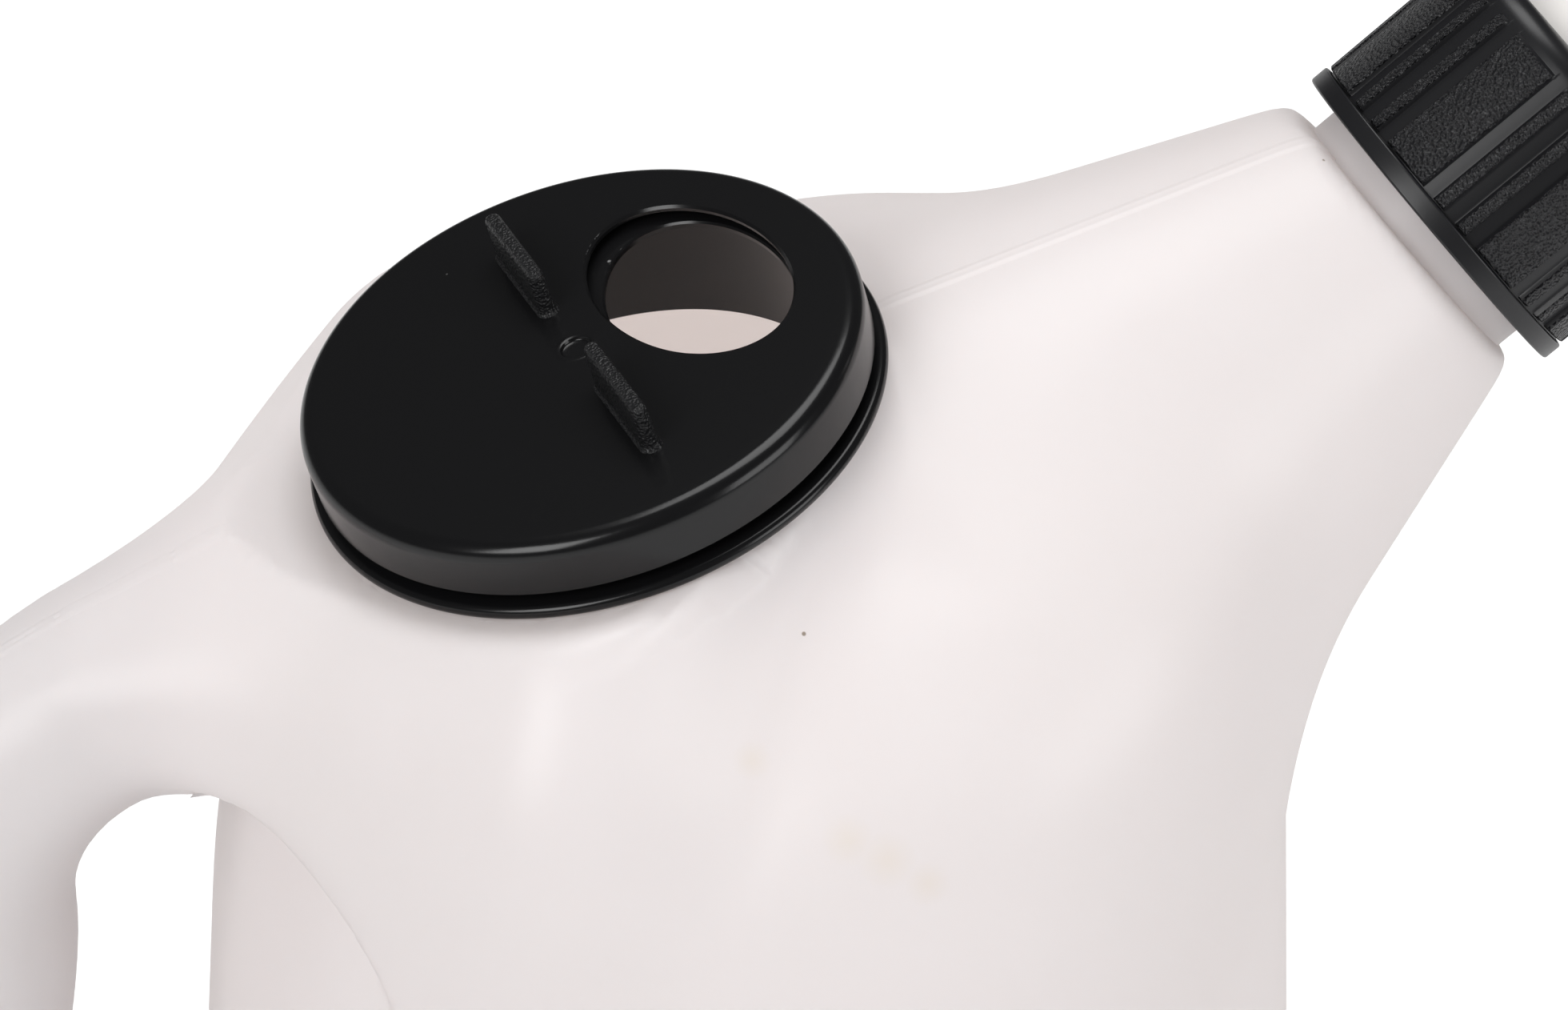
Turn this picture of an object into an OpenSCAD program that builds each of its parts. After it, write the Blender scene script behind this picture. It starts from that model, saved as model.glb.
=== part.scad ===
// Workshop fluid jug: a blown body with a hollow handle, a turning lid and a screwed pouring spout.
// Millimetres. The origin is the middle of the base, +Z is up, +X points to the spout, -X to the handle.

/* [Body] */
// Radius of the body at the base
base_r = 108.3; // [104:0.1:112]
// Radius of the body at the shoulder
shoulder_r = 99.8; // [96:0.1:103]
// Height at which the body starts to narrow
narrow_from = 60; // [40:1:90]
// Height of the shoulder
shoulder_h = 150; // [140:1:160]
// Height of the top face above the middle of the body, along the lid axis
top_reach = 85.2; // [83:0.1:88]
// Radius of the blown body's bottom edge, as a sharpness of its rounding
base_sharpness = 24; // [16:1:40]
// Sharpness of the shoulder's rounding
shoulder_sharpness = 3.2; // [2.8:0.1:3.6]
// Wall of the blown body
wall = 2.6; // [2:0.1:3.5]

/* [Spout cone] */
// Angle of the cone above level
cone_tilt = 40; // [38:0.1:42]
// Angle of the neck above level
neck_tilt = 39.3; // [36:0.1:42]
// Distance from the body's middle to the cone's end face
cone_reach = 162; // [158:0.5:166]
// Radius of the cone's end face
cone_end_r = 30.4; // [29:0.1:32]
// Flare of the cone's lower side
cone_low = 16.7; // [12:0.1:20]
// Flare of the cone's upper side
cone_high = 24.9; // [22:0.1:30]
// Softness of the join of cone and body
cone_blend = 13.5; // [10:0.5:25]

/* [Neck] */
// Outer radius of the threaded neck
neck_r = 25.6; // [24.6:0.1:26.6]
// Wall of the neck
neck_wall = 2.6; // [2:0.1:3.5]
// Length of the neck beyond the cone's end face
neck_l = 33; // [30:0.5:36]

/* [Handle] */
// Distance of the grip's middle from the body's axis
grip_x = 148.8; // [145:0.1:153]
// Radius of the grip
grip_r = 17.1; // [16:0.1:19]
// Radius of the handle's top run
run_r = 19; // [17.5:0.1:20]
// Height of the top run's middle line above the body's middle, square to the lid
run_reach = 78.8; // [77:0.1:81]
// Bend of the handle's upper corner
upper_bend = 43; // [40:1:46]
// Bend of the handle's lower corner
lower_bend = 34; // [32:1:38]
// Height of the lower run's middle line
lower_run_z = 46; // [42:1:54]
// Width of the grip as a share of its thickness
grip_width = 1.02; // [0.9:0.01:1.1]
// Angle of the handle's web above level
web_tilt = 27; // [24:0.1:30]
// Distance from the body's middle to the web's end
web_reach = 126.9; // [122:0.1:132]
// Radius of the web's end
web_end_r = 7.5; // [5:0.5:12]
// Flare of the web's lower side
web_low = 7.5; // [4:0.1:12]
// Flare of the web's upper side
web_high = 60.6; // [50:0.1:65]
// Width of the web as a share of its height
web_width = 1.46; // [1.3:0.01:1.7]
// Softness of the join of web and body
web_blend = 34.5; // [25:0.5:45]

/* [Lid] */
// Tilt of the lid towards the handle
lid_tilt = 15.2; // [12:0.1:18]
// Height of the lid's top face at its middle
lid_top_z = 250; // [247:0.5:253]
// Offset of the lid's middle towards the handle
lid_x = -32.5; // [-36:0.5:-29]
// Radius of the cover
cover_r = 50; // [48.5:0.1:51]
// Thickness of the cover
cover_t = 1.5; // [1.2:0.1:2]
// Height of the cover with its side wall
cover_h = 10.3; // [9.5:0.1:11]
// Rounding of the cover's upper edge
cover_round = 3; // [2:0.1:4]
// Gap between the cover's disc and the lid base's disc
disc_gap = 1.2; // [0.8:0.1:1.8]
// Gap between the cover's rim and the lid base's flange
rim_gap = 1.8; // [1.2:0.1:2.2]
// Radius of the lid base's flange
flange_r = 51.6; // [50.5:0.1:53]
// Thickness of the lid base's flange
flange_t = 2.5; // [2:0.1:3]
// Inner radius of the lid base's skirt
skirt_in_r = 44; // [42:0.1:45]
// Wall of the skirt
skirt_t = 1.8; // [1.5:0.1:2.2]
// Depth of the skirt's lower edge below the lid's top face
skirt_depth = 30; // [27:0.5:34]
// Clearance between the skirt and the body's mouth
mouth_gap = 0.3; // [0.2:0.05:0.6]
// Wall of the body's mouth
mouth_wall = 3; // [2.5:0.1:3.6]

// Radius at which the skin starts to rise from the lid's seat
dish_from = 52; // [50:0.5:56]
// Slope of the skin up from the lid's seat
dish_slope = 0.4; // [0.3:0.05:0.6]
// Easing of the skin into that slope
dish_blend = 4; // [2:0.5:8]

/* [Lid hole] */
// Distance from the lid's middle to the middle of the oval hole
hole_offset = 23.6; // [22:0.1:25]
// Direction of the oval hole from the lid's middle
hole_angle = 17; // [0:1:90]
// Half length of the oval hole
hole_long = 23.8; // [20:0.1:24]
// Half width of the oval hole
hole_wide = 15.6; // [12:0.1:16]
// Turn of the lid base's hole against the cover's hole, at rest
hole_lag = 8; // [0:1:20]

/* [Fins and pivot] */
// Direction of the line of fins
fin_angle = 98; // [80:1:110]
// Distance of a fin's inner end from the lid's middle
fin_from = 11.3; // [9:0.1:13]
// Distance of a fin's outer end from the lid's middle
fin_to = 34; // [30:0.5:38]
// Thickness of a fin
fin_t = 3; // [2.4:0.1:3.6]
// Height of a fin
fin_h = 9; // [7:0.5:12]
// Radius of the pivot peg
peg_r = 3; // [2.6:0.1:3.4]
// Running clearance of the pivot peg
peg_gap = 0.06; // [0.03:0.01:0.1]
// Height of the boss round the pivot bore
boss_h = 3; // [2:0.1:4]
// Radius of the boss round the pivot bore
boss_r = 6; // [5.4:0.1:7]
// Step of the peg's retaining head
peg_head_step = 0.9; // [0.6:0.1:1.2]
// Height of the peg's retaining head
peg_head_h = 1.6; // [1.2:0.1:2]
// Depth of the dimple over the peg
dimple_depth = 0.6; // [0.3:0.1:0.9]
// Vertical play of the cover on its peg
play = 0.2; // [0.15:0.05:0.3]

/* [Collar] */
// Visible neck between the cone and the collar
neck_show = 5; // [4:0.5:7]
// Length of the collar
collar_l = 38; // [36:0.5:41]
// Radius of the collar at its lower band
collar_r = 32.7; // [31.8:0.1:34]
// Height of the collar's lower band
band_h = 3.6; // [2.5:0.1:4.5]
// Height of a rib over the grooves
rib_h = 1.1; // [0.8:0.1:1.6]
// Number of groups of ribs
rib_groups = 8; // [6:1:10]
// Angle of a wide panel
panel_angle = 18.5; // [15:0.5:20]
// Angle of a narrow rib
rib_angle = 4.5; // [3.5:0.5:6]
// Angle from a wide panel's middle to a narrow rib's middle
rib_step = 17.4; // [16:0.1:18]
// Turn of the first wide panel from the collar's under side
rib_phase = 29.5; // [0:0.5:45]
// Distance between the ribs' ends and the collar's rounding
rib_end_gap = 1; // [0.5:0.1:2]
// Rounding of the collar's outer end
collar_round = 4; // [3:0.5:5]
// Clearance between the neck and the collar
collar_gap = 0.8; // [0.5:0.1:1.2]

/* [Spout] */
// Thickness of the sealing washer
washer_t = 2; // [1.5:0.1:3]
// Thickness of the spout's flange
spout_flange_t = 3; // [2:0.1:4]
// Radius of the spout at its root
spout_root_r = 19.6; // [18:0.1:20.5]
// Radius of the spout at its tip
spout_tip_r = 10; // [9:0.1:13]
// Wall of the spout
spout_wall = 2; // [1.5:0.1:2.4]
// Length of the spout beyond the collar
spout_l = 135; // [105:5:165]
// Length of the spout's straight end
spout_end_l = 15; // [10:1:20]
// Clearance between the spout and the collar's end
spout_gap = 0.4; // [0.3:0.05:0.8]

/* [Hidden] */
$fn = 96;

// Columns and rows of the body's outer skin
skin_columns = 60;
skin_rows = 28;
// Columns and rows of the body's inner skin
core_columns = 36;
core_rows = 18;
// Rows of the cone, from its end face to the body
cone_rows = 8;
// Sides and rings of the handle
handle_sides = 20;
handle_core_sides = 14;
bend_rings = 7;
// Small overlap of joined solids
bite = 1;
// Depth of cuts and joins that only have to pass a face
cut_depth = 20;
join_depth = 12;
// Stand-in for a distance without an end
far = 1000000;
// Depth below the floor to which the skin is drawn before it is cut level
under_floor = 1;

// Place of the skin's inner end ring, as a share of the cone's angle
inner_ring = 0.6;
// Angles from the neck's axis at which the cone's fine rings and all rings end
cone_span = 32;
last_span = 178;
// Step of the collar's lower band over its ribs
band_lip = 0.4;
// Distances from the body's axis at which the handle's runs start, inside the wall
run_root_x = 88;
lower_root_x = 96;
// Growth of the handle's radius at the upper corner, over the lower bend and at its root
upper_swell = 4.6;
lower_swell = 1.5;
root_swell = 4;
// Length of the handle's hollow beyond the handle's ends
hollow_longer = 10;

// Middle of the body, from which the skin is measured
middle = [-3.2, 0, 142.5];
cone_dir = [cos(cone_tilt), 0, sin(cone_tilt)];
cone_up = [-sin(cone_tilt), 0, cos(cone_tilt)];
web_dir = [-cos(web_tilt), 0, sin(web_tilt)];
web_up = [sin(web_tilt), 0, cos(web_tilt)];
lid_dir = [-sin(lid_tilt), 0, cos(lid_tilt)];
lid_top = [lid_x, 0, lid_top_z];

// Lid levels below the top face
base_disc_top = cover_t + disc_gap;
flange_top = cover_h + rim_gap;
seat_depth = flange_top + flange_t;
seat_reach = (lid_top - middle) * lid_dir - seat_depth;
skirt_r = skirt_in_r + skirt_t;
mouth_r = skirt_r + mouth_gap;
mouth_out_r = mouth_r + mouth_wall;
cover_in_r = cover_r - cover_t;
base_disc_r = cover_in_r - mouth_gap;
boss_bottom = base_disc_top + boss_h;
peg_bottom = boss_bottom + play + peg_head_h;

// Levels along the neck, from the body's middle
collar_from = cone_reach + neck_show;
neck_to = cone_reach + neck_l;
washer_to = neck_to + washer_t;
spout_flange_to = washer_to + spout_flange_t;
collar_to = collar_from + collar_l;
collar_core_r = collar_r - band_lip - rib_h;
collar_in_r = neck_r + collar_gap;
spout_hole_r = spout_root_r + spout_gap;
bore_r = neck_r - neck_wall;
spout_flange_r = neck_r;

function clamp(x, a, b) = min(max(x, a), b);
function between(x, x0, y0, x1, y1) = y0 + (y1 - y0) * clamp((x - x0) / (x1 - x0), 0, 1);
function smooth(x, a, b) = let(t = clamp((x - a) / (b - a), 0, 1)) t * t * (3 - 2 * t);
function soft_max(a, b, k) = max(a, b) + pow(max(k - abs(a - b), 0), 2) / (4 * k);
function soft_min(a, b, q) = a * pow(1 + pow(a / b, q), -1 / q);

// Radius of the round body at height z
function round_r(z) = between(z, narrow_from, base_r, shoulder_h, shoulder_r);
// Distance from the middle to the round wall along d, found by a few steps
function wall_reach(d, r = 100, step = 12) = step == 0 ? r
    : wall_reach(d, wall_step(d, round_r(middle.z + r * d.z)), step - 1);
function wall_step(d, big) = let(c = max(d.x * d.x + d.y * d.y, 0.0001), b = middle.x * d.x)
    min((-b + sqrt(b * b + c * (big * big - middle.x * middle.x))) / c, 500);
// Distance to the level floor and to the tilted top
function floor_reach(d, drop) = (middle.z + drop) / max(-d.z, 0.001);
function top_plane(d) = top_reach / max(d * lid_dir, 0.001);
function round_body(d, drop) = let(r = wall_reach(d))
    d * lid_dir > 0.01 ? soft_min(r, top_plane(d), shoulder_sharpness)
                       : soft_min(r, d.z < -0.01 ? floor_reach(d, drop) : far, base_sharpness);
// Distance to a flared cone round axis n, from the middle
function cone_body(d, n, t, reach, end_r, low, high, wide) = let(
    up = d * t,
    across = max(norm([up, d.y / wide]), 0.000001),
    along = d * n,
    flare = tan((low + high) / 2 + (high - low) / 2 * up / across),
    tip = reach + end_r / flare,
    side = tip * flare / max(across + along * flare, 0.000001))
    clamp(along > 0 ? min(side, reach / max(along, 0.001)) : 1, 1, 400) * smooth(along, 0.1, 0.75);
// Limit of the skin round the lid's seat, a shallow cone on the lid's axis
function dish_reach(rise) = let(lean = rise - dish_slope * sqrt(max(1 - rise * rise, 0)))
    lean > 0.05 ? min((seat_reach - dish_slope * dish_from) / lean, 400) : far;
// The body's skin with the cone, the handle's web and the dish round the lid
function full_skin(d, drop) = soft_max(
    soft_max(round_body(d, drop),
             cone_body(d, cone_dir, cone_up, cone_reach, cone_end_r, cone_low, cone_high, 1), cone_blend),
    cone_body(d, web_dir, web_up, web_reach, web_end_r, web_low, web_high, web_width), web_blend);
function skin(d, drop = under_floor) = -soft_max(-full_skin(d, drop), -dish_reach(d * lid_dir), dish_blend);

// Directions of a ring round the neck's axis
function around(off, turn) = cone_dir * cos(off) + (cone_up * cos(turn) + [0, 1, 0] * sin(turn)) * sin(off);
cone_off = atan(cone_end_r / cone_reach);
// Angles from the neck's axis at which the rings of the skin lie
function ring_angles(rows) = concat([inner_ring * cone_off], [cone_off],
    [for (i = [1:cone_rows]) cone_off + (cone_span - cone_off) * i / cone_rows],
    [for (i = [1:rows]) cone_span + (last_span - cone_span) * i / rows]);

// A closed skin round the middle, from one ring to the next
module skin_solid(columns, rows, less, drop) {
    offs = ring_angles(rows);
    rings = len(offs);
    first = middle + cone_dir * (cone_reach - less);
    last = middle - cone_dir * (skin(-cone_dir, drop) - less);
    points = concat([first], [for (a = offs, j = [0:columns - 1])
        let(d = around(a, 360 * j / columns)) middle + d * (skin(d, drop) - less)], [last]);
    ends = rings * columns + 1;
    polyhedron(points, concat(
        [for (j = [0:columns - 1]) [0, 1 + j, 1 + (j + 1) % columns]],
        [for (i = [0:rings - 2], j = [0:columns - 1])
            [1 + i * columns + j, 1 + (i + 1) * columns + j, 1 + i * columns + (j + 1) % columns]],
        [for (i = [0:rings - 2], j = [0:columns - 1])
            [1 + (i + 1) * columns + j, 1 + (i + 1) * columns + (j + 1) % columns,
             1 + i * columns + (j + 1) % columns]],
        [for (j = [0:columns - 1])
            [ends, 1 + (rings - 1) * columns + (j + 1) % columns, 1 + (rings - 1) * columns + j]]));
}

// Middle line of the handle, as points with a direction and a radius: top run, bend, grip, bend, lower run
corner_z = middle.z + run_reach / cos(lid_tilt) - grip_x * tan(lid_tilt);
bend_len = upper_bend * tan((90 - lid_tilt) / 2);
upper_centre = [-grip_x + upper_bend, corner_z - bend_len];
lower_centre = [-grip_x + lower_bend, lower_run_z + lower_bend];
run_root = [-run_root_x, corner_z + (grip_x - run_root_x) * tan(lid_tilt)];
lower_root = [-lower_root_x, lower_run_z];
function bend_point(centre, r, a) = centre + r * [cos(a), sin(a)];
handle_line = concat(
    [[run_root, 180 + lid_tilt, run_r]],
    [for (i = [0:bend_rings]) let(a = 90 + lid_tilt + (90 - lid_tilt) * i / bend_rings)
        [bend_point(upper_centre, upper_bend, a), a + 90,
         run_r + (grip_r + upper_swell - run_r) * smooth(i / bend_rings, 0, 1)]],
    [for (i = [1:3]) let(s = i / 4, z = upper_centre.y - (upper_centre.y - lower_centre.y) * s)
        [[-grip_x, z], 270, grip_r + upper_swell * (1 - smooth(s, 0, 0.6))]],
    [for (i = [0:bend_rings]) let(a = 180 + 90 * i / bend_rings)
        [bend_point(lower_centre, lower_bend, a), a + 90, grip_r + lower_swell * i / bend_rings]],
    [[lower_root, 360, grip_r + root_swell]]);

// A tube along the handle's middle line
module handle_solid(sides, less, longer) {
    rings = len(handle_line);
    points = [for (i = [0:rings - 1], j = [0:sides - 1]) let(
        h = handle_line[i],
        a = 360 * j / sides,
        end = i == 0 ? -longer : i == rings - 1 ? longer : 0,
        p = h[0] + end * [cos(h[1]), sin(h[1])],
        q = p + (h[2] - less) * cos(a) * [-sin(h[1]), cos(h[1])])
        [q.x, (h[2] * grip_width - less) * sin(a), q.y]];
    polyhedron(points, concat(
        [[for (j = [0:sides - 1]) sides - 1 - j]],
        [for (i = [0:rings - 2], j = [0:sides - 1])
            [i * sides + j, i * sides + (j + 1) % sides, (i + 1) * sides + j]],
        [for (i = [0:rings - 2], j = [0:sides - 1])
            [(i + 1) * sides + j, i * sides + (j + 1) % sides, (i + 1) * sides + (j + 1) % sides]],
        [[for (j = [0:sides - 1]) (rings - 1) * sides + j]]));
}

// Places children in the lid's frame, with its top face at zero
module on_lid() {
    translate(lid_top) rotate([0, -lid_tilt, 0]) children();
}

// Places children along the neck, with zero at the body's middle
module on_neck() {
    translate(middle) rotate([0, 90 - neck_tilt, 0]) children();
}

// A plain tube from level a to level b
module tube(outer, inner, a, b) {
    rotate_extrude() translate([inner, a]) square([outer - inner, b - a]);
}

// A flat rectangle from its lower to its upper corner
module square_from(x0, y0, x1, y1) {
    translate([x0, y0]) square([x1 - x0, y1 - y0]);
}

// A plain rod from level a to level b
module rod(r, a, b) {
    translate([0, 0, a]) cylinder(r = r, h = b - a);
}

// The oval opening, drawn as a curve
module oval(turn) {
    rotate(hole_angle + turn) translate([hole_offset, 0])
        polygon([for (a = [0:7.5:352.5]) [hole_wide * cos(a), hole_long * sin(a)]]);
}

// Blown body with its handle, mouth and neck
module jug_body() {
    color([0.93, 0.92, 0.9]) difference() {
        union() {
            skin_solid(skin_columns, skin_rows, 0, under_floor);
            handle_solid(handle_sides, 0, 0);
            on_lid() rod(mouth_out_r, -skirt_depth, -seat_depth);
            on_neck() rod(neck_r, cone_reach - join_depth, neck_to);
        }
        skin_solid(core_columns, core_rows, wall, -wall);
        handle_solid(handle_core_sides, wall, hollow_longer);
        on_lid() rod(mouth_r, -skirt_depth - cut_depth, bite);
        on_lid() rod(flange_r + mouth_gap, -seat_depth, cut_depth);
        on_neck() rod(bore_r, cone_reach - 2 * join_depth, neck_to + bite);
        translate([-2 * base_r, -2 * base_r, -cut_depth]) cube([4 * base_r, 4 * base_r, cut_depth]);
    }
}

// Lid base: disc with its oval hole, flange and skirt in one
module lid_base() {
    color([0.09, 0.09, 0.09]) on_lid() difference() {
        union() {
            rod(base_disc_r, -base_disc_top - cover_t, -base_disc_top);
            tube(skirt_r, skirt_in_r, -skirt_depth, -base_disc_top - cover_t / 2);
            tube(flange_r, skirt_in_r, -seat_depth, -flange_top);
            rod(boss_r, -boss_bottom, -base_disc_top);
        }
        rod(peg_r + peg_gap, -boss_bottom - bite, bite);
        translate([0, 0, -base_disc_top - cover_t - bite])
            linear_extrude(cover_t + 2 * bite) oval(-hole_lag);
    }
}

// One finger fin
module fin() {
    linear_extrude(fin_h) union() {
        translate([fin_from + fin_t / 2, -fin_t / 2]) square([fin_to - fin_from - fin_t, fin_t]);
        translate([fin_from + fin_t / 2, 0]) circle(d = fin_t, $fn = 24);
        translate([fin_to - fin_t / 2, 0]) circle(d = fin_t, $fn = 24);
    }
}

// Lid cover: disc, side wall, fins and pivot peg in one
module lid_cover() {
    color([0.07, 0.07, 0.07]) on_lid() {
        difference() {
            union() {
                rotate_extrude() union() {
                    translate([0, -cover_t]) square([cover_r - cover_round, cover_t]);
                    translate([cover_in_r, -cover_h]) square([cover_t, cover_h - cover_round]);
                    translate([cover_r - cover_round, -cover_round]) intersection() {
                        difference() {
                            circle(r = cover_round, $fn = 64);
                            circle(r = cover_round - cover_t, $fn = 64);
                        }
                        square([cover_round, cover_round]);
                    }
                }
                rod(boss_r, -base_disc_top + play, -cover_t / 2);
                rod(peg_r, -peg_bottom, -cover_t / 2);
                rod(peg_r + peg_head_step, -peg_bottom, -boss_bottom - play);
                for (side = [0, 180]) rotate(fin_angle + side) translate([0, 0, -cover_t / 2]) fin();
            }
            rod(peg_r, -dimple_depth, bite);
            translate([0, 0, -cover_t - bite]) linear_extrude(cover_t + 2 * bite) oval(0);
        }
    }
}

// One rib of the collar, as a sector with its middle on the X axis
module rib(angle) {
    rotate(-angle / 2) rotate_extrude(angle = angle) translate([collar_core_r - bite, collar_from + bite])
        square([rib_h + bite, collar_l - collar_round - rib_end_gap - bite]);
}

// Screw collar with its ribs
module collar() {
    period = 360 / rib_groups;
    ribs = [[0, panel_angle], [rib_step, rib_angle], [period - rib_step, rib_angle]];
    color([0.06, 0.06, 0.06]) on_neck() difference() {
        union() {
            rotate_extrude() union() {
                square_from(0, collar_from, collar_core_r, collar_to - collar_round);
                square_from(0, collar_to - collar_round - bite, collar_core_r - collar_round, collar_to);
                translate([collar_core_r - collar_round, collar_to - collar_round])
                    circle(r = collar_round, $fn = 64);
                square_from(0, collar_from, collar_r, collar_from + band_h);
            }
            for (i = [0:rib_groups - 1], r = ribs) rotate(period * i + rib_phase + r[0]) rib(r[1]);
        }
        rod(collar_in_r, collar_from - bite, spout_flange_to + play);
        rod(spout_hole_r, collar_from, collar_to + bite);
    }
}

// Flat seal between the neck and the spout
module spout_washer() {
    color([0.2, 0.2, 0.2]) on_neck() tube(neck_r, bore_r, neck_to, washer_to);
}

// Flexible spout with its flange
module spout() {
    tip = collar_to + spout_l;
    color([0.96, 0.95, 0.92]) on_neck() rotate_extrude() polygon([
        [spout_root_r - spout_wall, washer_to],
        [spout_flange_r, washer_to],
        [spout_flange_r, spout_flange_to],
        [spout_root_r, spout_flange_to],
        [spout_root_r, collar_to],
        [spout_tip_r, tip - spout_end_l],
        [spout_tip_r, tip],
        [spout_tip_r - spout_wall, tip],
        [spout_tip_r - spout_wall, tip - spout_end_l],
        [spout_root_r - spout_wall, collar_to]]);
}

jug_body();
lid_base();
lid_cover();
collar();
spout_washer();
spout();
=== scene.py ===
"""Looks of the workshop fluid jug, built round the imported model.

Sizes are in millimetres, and MM turns them into metres where a mesh is made.
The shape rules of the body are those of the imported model, at a finer step.
"""

import math

import bmesh
import bpy
import numpy as np
from mathutils import Matrix, Vector


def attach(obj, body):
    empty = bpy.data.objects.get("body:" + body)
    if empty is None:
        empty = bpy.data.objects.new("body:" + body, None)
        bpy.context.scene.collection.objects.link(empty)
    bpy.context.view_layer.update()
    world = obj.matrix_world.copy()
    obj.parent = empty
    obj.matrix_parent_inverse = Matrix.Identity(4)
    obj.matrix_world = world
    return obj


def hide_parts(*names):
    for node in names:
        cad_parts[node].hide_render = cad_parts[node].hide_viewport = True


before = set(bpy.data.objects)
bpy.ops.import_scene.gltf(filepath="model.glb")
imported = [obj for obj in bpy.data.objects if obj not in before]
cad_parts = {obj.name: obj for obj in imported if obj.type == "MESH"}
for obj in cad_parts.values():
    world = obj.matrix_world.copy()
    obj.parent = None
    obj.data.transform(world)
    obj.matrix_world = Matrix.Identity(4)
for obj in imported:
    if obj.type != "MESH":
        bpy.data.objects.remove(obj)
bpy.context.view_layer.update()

MM = 0.001

# Body
BASE_R, SHOULDER_R = 108.25, 99.8
NARROW_FROM, SHOULDER_H = 60.0, 150.0
TOP_REACH = 85.2
BASE_SHARPNESS, SHOULDER_SHARPNESS = 24.0, 3.2
WALL = 2.6
MIDDLE = np.array([-3.2, 0.0, 142.5])
FLOOR_DROP = 0.0

# Spout cone
NECK_TILT, CONE_TILT = math.radians(39.3), math.radians(40.0)
CONE_REACH, CONE_END_R = 162.0, 30.4
CONE_LOW, CONE_HIGH = 16.7, 24.9
CONE_BLEND = 13.5
CONE_EDGE_SHARPNESS = 90.0

# Handle
GRIP_X, GRIP_R, RUN_R = 148.8, 17.1, 19.0
RUN_REACH, UPPER_SWELL, LOWER_SWELL = 78.8, 4.6, 1.5
UPPER_BEND, LOWER_BEND = 43.0, 34.0
LOWER_RUN_Z = 46.0
GRIP_WIDTH = 1.02
HANDLE_BLEND = 19.0
RUN_ROOT_X, LOWER_ROOT_X, ROOT_SWELL = -84.0, -96.0, 2.5
WEB_TILT = math.radians(27)
WEB_REACH, WEB_END_R = 126.9, 7.5
WEB_LOW, WEB_HIGH = 7.5, 60.6
WEB_WIDTH, WEB_BLEND = 1.46, 34.5

# Shallow dish round the lid's seat
DISH_FROM, DISH_SLOPE, DISH_BLEND = 52.0, 0.4, 4.0

# Hand pocket under the handle's web
POCKET_HALF, POCKET_TOP = 60.0, 184.8
POCKET_ROUND_Y, POCKET_ROUND_Z = 30.0, 45.0
POCKET_DIP, POCKET_DIP_WIDTH = 20.4, 15.0
POCKET_EDGE = 1.0

# Neck
NECK_R, NECK_WALL, NECK_L = 25.6, 2.6, 33.0
THREAD_PITCH, THREAD_H, THREAD_TURNS = 4.0, 0.55, 4.5

# Parting ridge
RIDGE_HALF, RIDGE_H = 1.4, 0.3
RIDGE_GROOVE, RIDGE_GROOVE_DEPTH = 0.3, 0.22
RIDGE_FROM_Z, RIDGE_FULL_Z = 150.0, 175.0

# Lid
LID_TILT = math.radians(15.2)
LID_TOP = np.array([-32.5, 0.0, 250.0])
COVER_R, COVER_T, COVER_H, COVER_ROUND = 50.0, 1.5, 10.3, 3.0
DISC_GAP, RIM_GAP = 1.2, 1.8
FLANGE_R, FLANGE_T = 51.6, 2.5
SKIRT_IN_R, SKIRT_T, SKIRT_DEPTH = 44.0, 1.8, 30.0
MOUTH_GAP, MOUTH_WALL, MOUTH_BLEND = 0.3, 3.0, 22.0
MOUTH_BLEND_FRONT = 2.0
HOLE_OFFSET, HOLE_ANGLE = 23.6, 17.0
HOLE_LONG, HOLE_WIDE, HOLE_LAG = 23.8, 15.6, 8.0
FIN_ANGLE, FIN_FROM, FIN_TO, FIN_T, FIN_H = 98.0, 11.3, 34.0, 3.0, 9.0
PEG_R, PEG_GAP, PEG_HEAD_STEP, PEG_HEAD_H = 3.0, 0.06, 0.9, 1.6
BOSS_H, BOSS_R, PLAY, DIMPLE_DEPTH = 3.0, 6.0, 0.2, 0.6

# Collar
NECK_SHOW, COLLAR_L, COLLAR_R, BAND_H = 5.0, 38.0, 32.7, 3.6
RIB_H, RIB_GROUPS, RIB_PHASE = 1.1, 8, 29.5
PANEL_ANGLE, RIB_ANGLE, RIB_STEP = 18.5, 4.3, 17.2
COLLAR_ROUND, COLLAR_GAP, RIB_END_GAP = 4.0, 0.8, 1.0
RIB_EDGE = 0.35

# Spout
WASHER_T, SPOUT_FLANGE_T = 2.0, 3.0
SPOUT_ROOT_R, SPOUT_TIP_R, SPOUT_WALL = 19.6, 10.0, 2.0
SPOUT_L, SPOUT_END_L, SPOUT_GAP = 135.0, 15.0, 0.4

# A distance is measured along a slanted line, so it is taken a little short when points settle
SLANT_SHARE = 0.9

# Directions
CONE_DIR = np.array([math.cos(CONE_TILT), 0, math.sin(CONE_TILT)])
CONE_UP = np.array([-math.sin(CONE_TILT), 0, math.cos(CONE_TILT)])
WEB_DIR = np.array([-math.cos(WEB_TILT), 0, math.sin(WEB_TILT)])
WEB_UP = np.array([math.sin(WEB_TILT), 0, math.cos(WEB_TILT)])
LID_DIR = np.array([-math.sin(LID_TILT), 0, math.cos(LID_TILT)])

# Small marks on the body's skin: place and radius
SPECKS = (((-9.1, -57.3, 226.7), 0.45), ((101.2, -5.7, 268.5), 0.35))
STAINS = (((-22.2, -71.9, 214.5), 3.5), ((-9.9, -85.5, 205.8), 4.5), ((-4.2, -89.1, 203.1), 5.0),
          ((1.8, -92.2, 199.1), 4.0))

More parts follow.
